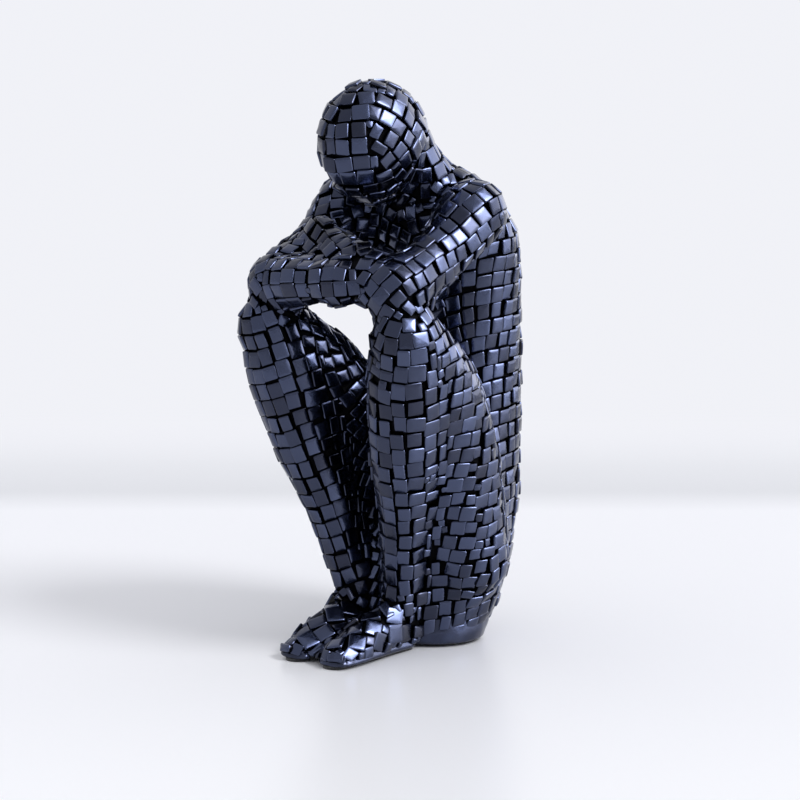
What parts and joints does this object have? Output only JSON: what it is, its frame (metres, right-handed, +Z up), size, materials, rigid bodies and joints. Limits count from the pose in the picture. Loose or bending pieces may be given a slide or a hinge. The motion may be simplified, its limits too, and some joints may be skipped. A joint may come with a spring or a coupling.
{
  "type": "mannequin figure sculpture",
  "caption": "Desk sculpture of a faceless seated figure with drawn-up knees, folded arms and a bowed head, clad in small glossy dark navy square chips.",
  "frame": {"origin": "on the surface that the figure stands on, under the middle of its bounding box", "axes": "+Z up, -Y the way the figure faces, +X towards its left side"},
  "size_m": [0.1064, 0.124, 0.2437],
  "materials": {
    "navy_resin": "glossy, slightly metallic dark navy",
    "dark_joints": "near-black satin joints between the chips",
    "black_felt": "matt black felt",
    "peg_steel": "plain turned steel"
  },
  "bodies": {
    "root": {"head": "navy_resin", "upper_torso": "navy_resin", "pelvis": "navy_resin", "seat_base": "navy_resin", "left_upper_arm": "navy_resin", "left_forearm": "navy_resin", "left_hand": "navy_resin", "left_thigh": "navy_resin", "left_shin": "navy_resin", "left_foot": "navy_resin", "right_upper_arm": "navy_resin", "right_forearm": "navy_resin", "right_hand": "navy_resin", "right_thigh": "navy_resin", "right_shin": "navy_resin", "right_foot": "navy_resin", "neck_peg": "peg_steel", "waist_peg": "peg_steel", "left_shoulder_peg": "peg_steel", "left_elbow_peg": "peg_steel", "left_wrist_peg": "peg_steel", "left_hip_peg": "peg_steel", "left_shin_peg": "peg_steel", "left_ankle_peg": "peg_steel", "right_shoulder_peg": "peg_steel", "right_elbow_peg": "peg_steel", "right_wrist_peg": "peg_steel", "right_hip_peg": "peg_steel", "right_shin_peg": "peg_steel", "right_ankle_peg": "peg_steel", "seat_pad": "black_felt", "left_foot_pad": "black_felt", "right_foot_pad": "black_felt"}
  },
  "joints": []
}
